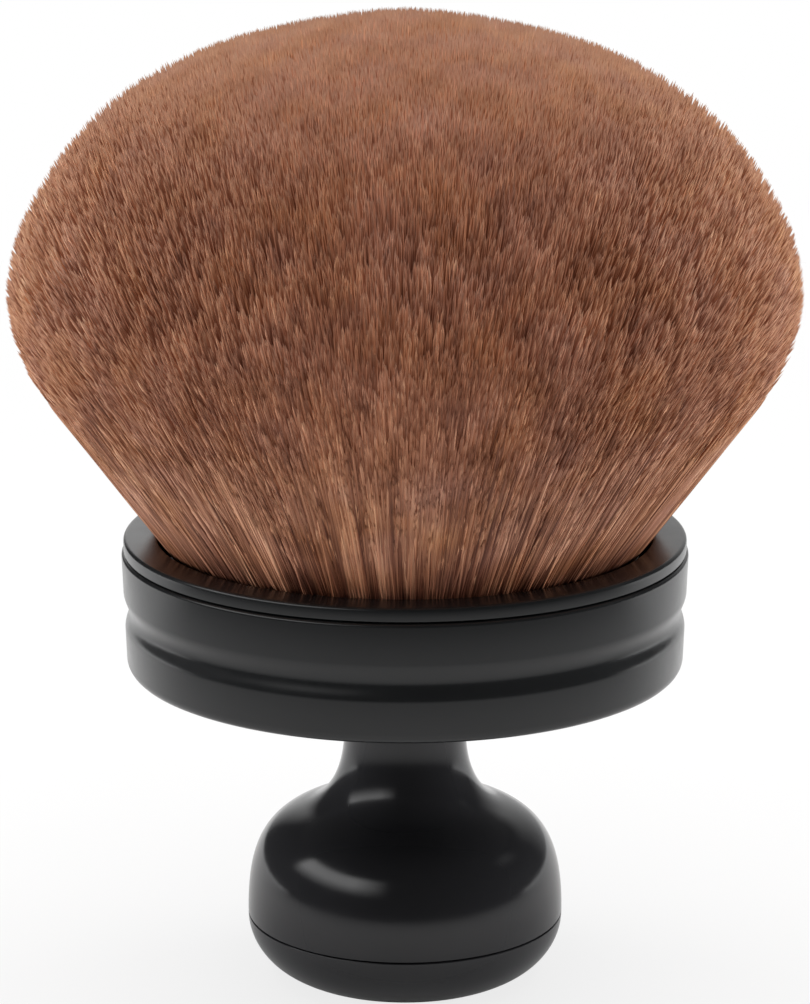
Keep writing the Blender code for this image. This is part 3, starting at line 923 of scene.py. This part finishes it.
def spread(count, jitter):
    """This many directions, spread evenly over the dome's skin, and moved by a share of their pitch."""
    number = np.arange(count)
    areas = np.clip(number + 0.5 + chance.normal(0, jitter, count), 0, count) / count * area_below[-1]
    pitch = math.sqrt(area_below[-1] / count)
    leans = np.interp(areas, area_below, profile_leans)
    places = fan + rays(leans, number * GOLDEN_ANGLE) * reach(leans)[:, None]
    return places + chance.normal(0, jitter * pitch, (count, 3)) - fan


def slow_noise(places, size, seed):
    """Smooth noise from about -1 to 1 at each place."""
    scaled = places / size + seed * SEED_STEP
    return np.array([noise.noise(Vector(place)) for place in scaled])


def swayed(places, size):
    """A slow wandering of these places, in all three directions."""
    return np.stack([slow_noise(places, size, seed) for seed in (1, 2, 3)], axis=1)


# %% Gather the tips in locks
HEAD_PIECES = 7
FIBRES_EACH = 18600
TIP_JITTER = 0.35
LOCK_JITTER = 0.45
LOCK_PITCH = 0.75 * MM
LOCK_START = 0.35
LOCK_FULL = 0.85
LOCK_SQUEEZE = np.array([1, 1, 0.13])
LOCK_PULL = 0.5
CROWN_PULL_SHARE = 0.25
SLOW_SIZE = 4.0 * MM
SLOW_LEAN = 0.4 * MM
FIBRE_LEAN = 0.1 * MM

count = HEAD_PIECES * FIBRES_EACH
skin, leans = on_dome(spread(count, TIP_JITTER))
outward = leans / FAN_HALF_ANGLE
comb = eased(outward, LOCK_START, LOCK_FULL)
lock_count = round(area_below[-1] / LOCK_PITCH**2)
lock_places, _ = on_dome(spread(lock_count, LOCK_JITTER))
lock_tree = kdtree.KDTree(lock_count)
for number, place in enumerate(lock_places):
    lock_tree.insert(place * LOCK_SQUEEZE, number)
lock_tree.balance()
lock = np.array([lock_tree.find(place * LOCK_SQUEEZE)[1] for place in skin])
pull = LOCK_PULL * (CROWN_PULL_SHARE + (1 - CROWN_PULL_SHARE) * comb)
pull = pull * np.sqrt(chance.random(lock_count)[lock])
moved = skin + (lock_places[lock] - skin) * LOCK_SQUEEZE * pull[:, None]
moved += SLOW_LEAN * swayed(skin, SLOW_SIZE) + chance.normal(0, FIBRE_LEAN, (count, 3))
print("Fibres on the dome:", count, "in", lock_count, "locks")

# %% Cut the tips
FRAY = 0.14 * MM
LOCK_CUT = 0.45 * MM
LOCK_CUT_POWER = 2.5
FULL_SHARE = 0.17
COMB_LEAST = 0.4 * MM
COMB_CUT = 5.0 * MM
CROWN_CUT = 0.9 * MM
CROWN_CUT_POWER = 1.3
EDGE_START = 0.95
EDGE_CUT = 9.0 * MM
EDGE_CUT_POWER = 1.6

cuts = FRAY * chance.random(count)
cuts += comb * LOCK_CUT * chance.random(lock_count)[lock] ** LOCK_CUT_POWER
shorter = (COMB_LEAST + COMB_CUT * chance.random(count)) * (chance.random(count) > FULL_SHARE)
cuts += CROWN_CUT * (1 - comb) * chance.random(count) ** CROWN_CUT_POWER + comb * shorter
edge = eased(outward, EDGE_START, 1)
cuts += EDGE_CUT * edge * chance.random(count) ** EDGE_CUT_POWER
tips, _ = on_dome(moved - fan, cuts)
print("Cut off, on average and at most, in mm:", in_mm(cuts.mean(), cuts.max()))

# %% Set the roots
SHALLOW_ROOT = 5.5 * MM
ROOT_SPREAD = 1.5 * MM
ROOT_DIVE = math.radians(1.2)
DIVE_START = 0.9
DIVE_FULL = 0.955

outer = eased(outward, DIVE_START, DIVE_FULL)
depths = SHALLOW_ROOT + (ROOT_SPREAD + SHALLOW_ROOT * outer) * chance.random(count)
lengths = np.linalg.norm(tips - fan, axis=1) - depths
root_rays = rays(leans - ROOT_DIVE * outer, np.arctan2(skin[:, 1], skin[:, 0]))
roots = fan + root_rays * lengths[:, None]
print("Fibres are modelled over", in_mm(depths.min(), depths.max()), "mm")

# %% [markdown]
# ## Planting the fibres
# Every copy is the one modelled fibre, stretched from its root to its tip. Thousands of them make
# one mesh, because a separate object each would be too slow. Each corner keeps how near it is to
# the tip, and each fibre a tone of its own, with painted shade in it, so the finish can lighten the
# ends, paint shade further down the fibre, and vary the rest.
# Each copy also has its own cell in a UV map, where its three sides share one strip, so that its
# colours can be kept as a picture.

# %% Give each fibre its cell
BAKE_COLUMNS = 320
BAKE_ROWS = 60
STRIP_SHARE = 0.36
CAP_SHARE = 0.04
STRIP_START = 0.1
STRIP_END = 0.95
TURN_DIGITS = 2


def bake_cells(fibre, total):
    """UVs that give each fibre one cell. Its sides share a strip, and its end lies below them."""
    corners, faces = fibre
    turns = [round(math.atan2(y, x), TURN_DIGITS) for x, y, height in corners]
    cell = []
    for face in faces:
        columns = []
        for corner in face:
            if corners[corner][2] < 1 and turns[corner] not in columns:
                columns.append(turns[corner])
        for corner in face:
            height = corners[corner][2]
            if len(columns) == 3:
                across = (-1, 1, 0)[columns.index(turns[corner])]
                cell.append((across * STRIP_SHARE, CAP_SHARE * (1 - abs(across) / 2)))
            else:
                across = 0 if height == 1 else (-1, 1)[columns.index(turns[corner])]
                cell.append((across * STRIP_SHARE, STRIP_START + (STRIP_END - STRIP_START) * height))
    cell = np.array(cell)
    index = np.arange(total)
    u = ((index % BAKE_COLUMNS)[:, None] + 0.5 + cell[None, :, 0]) / BAKE_COLUMNS
    v = ((index // BAKE_COLUMNS)[:, None] + cell[None, :, 1]) / BAKE_ROWS
    return np.stack([u, v], axis=2)


# %% Stretch the copies and make one mesh of them
TAPER_LENGTH = 0.9 * MM
TIP_FADE = 3.6 * MM


def planted(name, fibre, roots, tips, radii, tones_and_shade):
    """One piece that holds a copy of the fibre from each root to its tip. All taper alike."""
    corners, faces = fibre
    shoulder = max(height for x, y, height in corners if height < 1)
    total = len(roots)
    stretch = tips - roots
    lengths = np.linalg.norm(stretch, axis=1)
    across = np.cross(stretch, chance.normal(size=(total, 3)))
    across /= np.linalg.norm(across, axis=1, keepdims=True)
    beside = np.cross(stretch / lengths[:, None], across)
    heights = np.tile(corners[:, 2], (total, 1))
    heights = np.where(heights == shoulder, 1 - TAPER_LENGTH / lengths[:, None], heights)
    places = roots[:, None] + heights[:, :, None] * stretch[:, None]
    places += radii[:, None, None] * corners[None, :, 0:1] * across[:, None]
    places += radii[:, None, None] * corners[None, :, 1:2] * beside[:, None]
    loop = np.array([corner for face in faces for corner in face])
    loops = loop[None, :] + len(corners) * np.arange(total)[:, None]
    sizes = np.tile([len(face) for face in faces], total)
    starts = np.concatenate([[0], np.cumsum(sizes)[:-1]])
    mesh = bpy.data.meshes.new(name)
    mesh.vertices.add(total * len(corners))
    mesh.vertices.foreach_set("co", places.ravel())
    mesh.loops.add(loops.size)
    mesh.loops.foreach_set("vertex_index", loops.ravel())
    mesh.polygons.add(len(sizes))
    mesh.polygons.foreach_set("loop_start", starts)
    mesh.update(calc_edges=True)
    layer = mesh.uv_layers.new(name="OFBake")
    layer.uv.foreach_set("vector", bake_cells(fibre, total).ravel())
    # How near each corner lies to the tip: the finish makes the tips lighter and paints shade further
    # down.
    from_tip = lengths[:, None] * (1 - heights)
    nearness = mesh.attributes.new("nearness", "FLOAT", "POINT")
    nearness.data.foreach_set("value", np.exp(-from_tip / TIP_FADE).ravel())
    tone = mesh.attributes.new("tone", "FLOAT", "POINT")
    tone.data.foreach_set("value", np.repeat(np.clip(tones_and_shade, 0, 1), len(corners)))
    piece = bpy.data.objects.new(name, mesh)
    bpy.context.collection.objects.link(piece)
    return piece


# %% Plant the dome
FIBRE_RADIUS = 0.105 * MM
THINNEST_SHARE = 0.8
THICKEST_SHARE = 1.15
COMB_THICKER = 0.3
TONE_SPREAD = 0.06
LOCK_TONE = 0.13
CROWN_CALM = 0.25
# A belt of painted shade round the middle of the head, darkest at the front and the back.
SHADE_BELT_HEIGHT = 25 * MM
SHADE_BELT_REACH = 17 * MM
SHADE_BELT_POWER = 4
SHADE_BELT_DARKER = 0.35


def shaded_tones_at(places):
    """The middle tone at each place, with painted shade: darker in a belt, most of all at the front and
    the back.
    """
    belt_shade = np.exp(-(((places[:, 2] - rim - SHADE_BELT_HEIGHT) / SHADE_BELT_REACH) ** SHADE_BELT_POWER))
    facing = (places[:, 1] / np.hypot(places[:, 0], places[:, 1])) ** 2
    return 0.5 - SHADE_BELT_DARKER * belt_shade * facing


own_tones = chance.normal(0, TONE_SPREAD, count) + chance.normal(0, LOCK_TONE, lock_count)[lock]
# Each fibre's tone: its own random tone plus the painted belt shade.
tones_and_shade = shaded_tones_at(tips) + own_tones * (CROWN_CALM + (1 - CROWN_CALM) * comb)
radii = FIBRE_RADIUS * chance.uniform(THINNEST_SHARE, THICKEST_SHARE, count)
radii = radii * (1 + COMB_THICKER * comb)
head = []
for number in range(HEAD_PIECES):
    own = slice(number, None, HEAD_PIECES)
    name = f"fibres_{number + 1}"
    head.append(planted(name, tip_fibre, roots[own], tips[own], radii[own], tones_and_shade[own]))
print("Pieces on the dome:", len(head))

# %% [markdown]
# ## The long fibres at the side
# Below the widest place the outermost fibres show over their whole length, from the ring to their
# tips. These are longer copies with two more rings. They lie in several layers, each a little
# further in, so that no gap shows the core.

# %% Plant the side
SIDE_PIECES = 2
SIDE_FIBRES = 8800
SIDE_LAYERS = math.radians(2.6)
INWARD_POWER = 1.3
SIDE_CUT = 13.0 * MM
SIDE_SWAY = 0.6 * MM
SIDE_SWAY_SIZE = 2.0 * MM
SIDE_LEAN = 0.4 * MM
SIDE_SPREAD = 0.2
FOOT_DEPTH = 2.5 * MM
STREAK_TONE = 0.55
STREAK_SIZE = 0.4 * MM
STREAK_SEED = 9

foot_rise = rim - FOOT_DEPTH - fan[2]
for number in range(SIDE_PIECES):
    inward = chance.random(SIDE_FIBRES) ** INWARD_POWER
    straight = rays(FAN_HALF_ANGLE - SIDE_LAYERS * inward, math.tau * chance.random(SIDE_FIBRES))
    skin, leans = on_dome(straight)
    roots = fan + straight * (foot_rise / np.cos(leans))[:, None]
    moved = skin + SIDE_SWAY * swayed(skin, SIDE_SWAY_SIZE)
    moved += chance.normal(0, SIDE_LEAN, (SIDE_FIBRES, 3))
    tips, _ = on_dome(moved - fan, SIDE_CUT * chance.random(SIDE_FIBRES) * (1 - inward))
    tones_and_shade = shaded_tones_at(tips) + STREAK_TONE * slow_noise(roots, STREAK_SIZE, STREAK_SEED)
    tones_and_shade += chance.normal(0, TONE_SPREAD, SIDE_FIBRES)
    radii = FIBRE_RADIUS * chance.uniform(1 - SIDE_SPREAD, 1 + SIDE_SPREAD, SIDE_FIBRES)
    head.append(planted(f"fibres_side_{number + 1}", long_fibre, roots, tips, radii, tones_and_shade))
print("Pieces in all:", len(head))

# %% [markdown]
# ## The colour of a fibre
# The fibres are dyed a reddish brown, and they are lighter and duller at the tips, where they are
# ground thin. Towards the root and near the ring the colour carries painted shade, and so does a
# belt round the middle. So the colour follows the distance from the tip, the tone of each fibre
# shifts it, and soft patches run over the whole head. Fibres this thin let most light through, so
# they cast no shadow on each other, and their shade is painted into the colour instead. The core
# casts its shadow.

# %% Blend the tones of the dye and of the painted shade
FIBRE_ROUGHNESS = 0.6
SOFT_DETAIL = 1.0
ROOT_BLEND = 0.36
TIP_BLEND = 0.24
TONE_EFFECT = 0.8
PATCH_EFFECT = 0.4
PATCH_SIZE = 2.8 * MM
PATCH_STRETCH = (1, 1, 0.35)
RING_SHADE_EFFECT = 0.15
RING_SHADE_HEIGHT = 6 * MM

fibre_brown, shader, place = finish_named(
    "fibre_brown", Roughness=FIBRE_ROUGHNESS, Specular_IOR_Level=DULL_SPECULAR
)
nearness = place.node("ShaderNodeAttribute", {"attribute_name": "nearness"}, {}, "Fac")
tone = place.node("ShaderNodeAttribute", {"attribute_name": "tone"}, {}, "Fac")
upright = place.node("ShaderNodeMapping", {}, {"Vector": place, "Scale": PATCH_STRETCH})
patches = grain(upright, PATCH_SIZE, SOFT_DETAIL)
height = place.node("ShaderNodeSeparateXYZ", {}, {"Vector": place}, "Z")
# Painted shade: the fibres darken towards the ring, within this height above it.
ring_shade = ((float(rim) + RING_SHADE_HEIGHT - height) * (1 / RING_SHADE_HEIGHT)).held()
shift = (tone - 0.5) * TONE_EFFECT + (patches - 0.5) * PATCH_EFFECT - ring_shade * RING_SHADE_EFFECT
# Painted shade: darker with the distance from the tip, where the shafts lie in shade; the tips are also
# truly lighter.
blend = (ROOT_BLEND + nearness * TIP_BLEND + shift).held()

# %% Dye the fibres and paint their shade, from the darkest to the lightest
# The darker stops serve both the dye and the painted shade.
DYE_AND_SHADE = [
    (0.0, (90, 46, 30)),
    (0.25, (138, 84, 58)),
    (0.5, (168, 112, 82)),
    (0.8, (194, 140, 106)),
    (1.0, (216, 170, 136)),
]
HUE_SIZE = 5 * MM
HUE_MIDDLE = 0.503
HUE_WANDER = 0.012
LEAST_SATURATION = 0.81
SATURATION_WANDER = 0.2

stops = [(share, paint(*colour)) for share, colour in DYE_AND_SHADE]
ramp = place.node("ShaderNodeValToRGB", {"stops": stops}, {"Fac": blend})
wander = grain(place, HUE_SIZE, SOFT_DETAIL)
dyed_and_shaded = ramp.node(
    "ShaderNodeHueSaturation",
    {},
    {
        "Color": ramp,
        "Hue": HUE_MIDDLE + HUE_WANDER * (wander - 0.5),
        "Saturation": LEAST_SATURATION + SATURATION_WANDER * wander,
    },
)
feed(shader, Base_Color=dyed_and_shaded)
for piece in head:
    dress(piece, fibre_brown, "fibre", "bristle_tuft")
    # The shade between the fibres is painted into their colour, so here they cast none.
    piece.visible_shadow = False

# %% [markdown]
# ## The studio
# The brush stands on a white floor under one large soft light, which makes the crown bright. A low
# light at each side reaches the hair under its widest place. Black cloth hangs round it, so that
# the black pieces stay black. A soft box in the cloth at the upper left draws the crescent on the
# knob, and two windows in it at the back give the knob its bright edges. The cloth shows only in
# reflections. The camera sees the floor mostly as an even glow, since the photograph has hardly
# a shadow, and a reflection sees it darken in front, as if the cloth lay there too.

# %% Stage pieces, glowing finishes and soft edges
def stage_piece(name, finish, only_reflected=False):
    """Names the object just made, and keeps it out of the brush."""
    piece = bpy.context.object
    piece.name = name
    piece.data.materials.append(finish)
    if only_reflected:
        piece.visible_camera = False
        piece.visible_diffuse = False
        piece.visible_shadow = False


def glowing(name, strength):
    """A finish that gives out even white light."""
    made = bpy.data.materials.new(name)
    made.use_nodes = True
    made.cycles.emission_sampling = "NONE"
    tree = made.node_tree
    tree.nodes.remove(tree.nodes["Principled BSDF"])
    light = {"Color": (1, 1, 1, 1), "Strength": strength}
    glow = Flow(tree, None).node("ShaderNodeEmission", {}, light)
    tree.links.new(glow.socket, tree.nodes["Material Output"].inputs["Surface"])
    return made, glow


def falling(distance, near, far):
    """Falls from 1 to 0 between two distances."""
    return ((far - distance) * (1 / (far - near))).held()


def between(value, limits):
    """Rises from 0 to 1 between the first two limits, and falls back between the last two."""
    return falling(-1 * value, -limits[1], -limits[0]) * falling(value, limits[2], limits[3])


# %% Lay the floor
FLOOR_SIZE = 6.0
FLOOR_WHITE = 0.9
FLOOR_SHADOW_SHARE = 0.22
SHADOW_NEAR = 0.15
SHADOW_FAR = 0.35
GLOSS_NEAR = 0.05
GLOSS_FAR = 0.28

deselect()
bpy.ops.mesh.primitive_plane_add(size=FLOOR_SIZE)
floor_white, glow = glowing("floor_white", 1.0)
seen = glow.node("ShaderNodeLightPath", {}, {}, "Is Camera Ray")
mirrored = glow.node("ShaderNodeLightPath", {}, {}, "Is Glossy Ray")
place = glow.node("ShaderNodeTexCoord", {}, {}, "Object")
away = place.node("ShaderNodeVectorMath", {"operation": "LENGTH"}, {0: place}, "Value")
behind = place.node("ShaderNodeSeparateXYZ", {}, {"Vector": place}, "Y")
front_only = falling(behind, 0, GLOSS_NEAR)
dimmed = mirrored * front_only * (1 - falling(away, GLOSS_NEAR, GLOSS_FAR))
white = (FLOOR_WHITE, FLOOR_WHITE, FLOOR_WHITE, 1)
matt = glow.node("ShaderNodeBsdfDiffuse", {}, {"Color": mixed(dimmed, white, paint(0, 0, 0))})
lit = seen * (1 - FLOOR_SHADOW_SHARE * falling(away, SHADOW_NEAR, SHADOW_FAR))
both = glow.node("ShaderNodeMixShader", {}, {0: lit, 1: matt, 2: glow})
output = floor_white.node_tree.nodes["Material Output"]
floor_white.node_tree.links.new(both.socket, output.inputs["Surface"])
stage_piece("floor", floor_white)
print("The floor is", FLOOR_SIZE, "m wide")

# %% Put the soft boxes and windows in the cloth
CLOTH_RADIUS = 0.45
CLOTH_HEIGHT = 0.8
CLOTH_SIDES = 72
CLOTH_GLOW = 0.04
WINDOW_LEFT = [math.radians(end) for end in (150, 166)]
WINDOW_RIGHT = [math.radians(end) for end in (128, 166)]
WINDOW_TOP = (0.22, 0.29)
WINDOW_RIGHT_LIGHT = 0.72
BOX_ENDS = [math.radians(end) for end in (-102, -95, -42, -14)]
BOX_HEIGHTS = (0.15, 0.26, 0.36, 0.45)
BOX_LIGHT = 3.0
SIDE_BOX_ENDS = [math.radians(end) for end in (86, 98, 104, 116)]
SIDE_BOX_HEIGHTS = (0.22, 0.3, 0.34, 0.42)
SIDE_BOX_LIGHT = 0.25

cloth_black, glow = glowing("cloth_black", CLOTH_GLOW)
place = glow.node("ShaderNodeTexCoord", {}, {}, "Object")
x, y, z = (place.node("ShaderNodeSeparateXYZ", {}, {"Vector": place}, name) for name in "XYZ")
turn = x.work("ARCTAN2", x, -1 * y)
height = z + CLOTH_HEIGHT / 2
soft_box = between(turn, BOX_ENDS) * between(height, BOX_HEIGHTS)
side_box = between(turn, SIDE_BOX_ENDS) * between(height, SIDE_BOX_HEIGHTS)
at_left = falling(turn, -WINDOW_LEFT[1], -WINDOW_LEFT[0])
at_right = falling(-1 * turn, -WINDOW_RIGHT[1], -WINDOW_RIGHT[0])
window = (at_left + WINDOW_RIGHT_LIGHT * at_right) * falling(height, *WINDOW_TOP)
light = CLOTH_GLOW + window + BOX_LIGHT * soft_box + SIDE_BOX_LIGHT * side_box
feed(glow.socket.node, Strength=light)

# %% Hang the cloth
deselect()
bpy.ops.mesh.primitive_cylinder_add(
    vertices=CLOTH_SIDES,
    radius=CLOTH_RADIUS,
    depth=CLOTH_HEIGHT,
    end_fill_type="NOTHING",
    location=(0, 0, CLOTH_HEIGHT / 2),
)
stage_piece("cloth", cloth_black, True)
deselect()
bpy.ops.mesh.primitive_circle_add(
    vertices=CLOTH_SIDES, radius=CLOTH_RADIUS, fill_type="NGON", location=(0, 0, CLOTH_HEIGHT)
)
top_black, glow = glowing("top_black", CLOTH_GLOW)
stage_piece("cloth_top", top_black, True)
print("The cloth hangs", CLOTH_RADIUS, "m round the brush")

# %% Hang the lights
KEY_PLACE = (0, 0.05, 0.9)
KEY_SIZE = 1.0
KEY_LIGHT = 2.0
SIDE_AWAY = 0.5
SIDE_BACK = 0.1
SIDE_HEIGHT = 0.08
SIDE_WIDTH = 0.4
SIDE_TALL = 0.14
SIDE_LIGHT = 15.0


def lamp(name, place, width, tall, light, in_gloss):
    """A flat lamp that faces the middle of the stage, as bright as a sheet of this strength."""
    deselect()
    bpy.ops.object.light_add(type="AREA", location=place)
    made = bpy.context.object
    made.name = name
    made.rotation_euler = Vector(place).to_track_quat("Z", "Y").to_euler()
    made.data.shape = "RECTANGLE"
    made.data.size = width
    made.data.size_y = tall
    made.data.energy = light * math.pi * width * tall
    made.visible_glossy = in_gloss


lamp("key", KEY_PLACE, KEY_SIZE, KEY_SIZE, KEY_LIGHT, True)
for name, across in (("side_left", -SIDE_AWAY), ("side_right", SIDE_AWAY)):
    lamp(name, (across, SIDE_BACK, SIDE_HEIGHT), SIDE_WIDTH, SIDE_TALL, SIDE_LIGHT, False)

# %% Light the room: white where it shows or is mirrored, and weak as a light
ROOM_LIGHT = 0.3
SHOWN_RAYS = ("Is Camera Ray", "Is Glossy Ray", "Is Transmission Ray")

world = bpy.data.worlds.new("room")
bpy.context.scene.world = world
world.use_nodes = True
room = Flow(world.node_tree, None)
seen, mirrored, through = (room.node("ShaderNodeLightPath", {}, {}, name) for name in SHOWN_RAYS)
strength = ROOM_LIGHT + (1 - ROOM_LIGHT) * (seen + mirrored + through).held()
background = world.node_tree.nodes["Background"]
background.inputs["Color"].default_value = (1, 1, 1, 1)
world.node_tree.links.new(strength.socket, background.inputs["Strength"])
bpy.context.scene.view_settings.view_transform = "Standard"
print("The room gives", ROOM_LIGHT, "of the light that it shows")
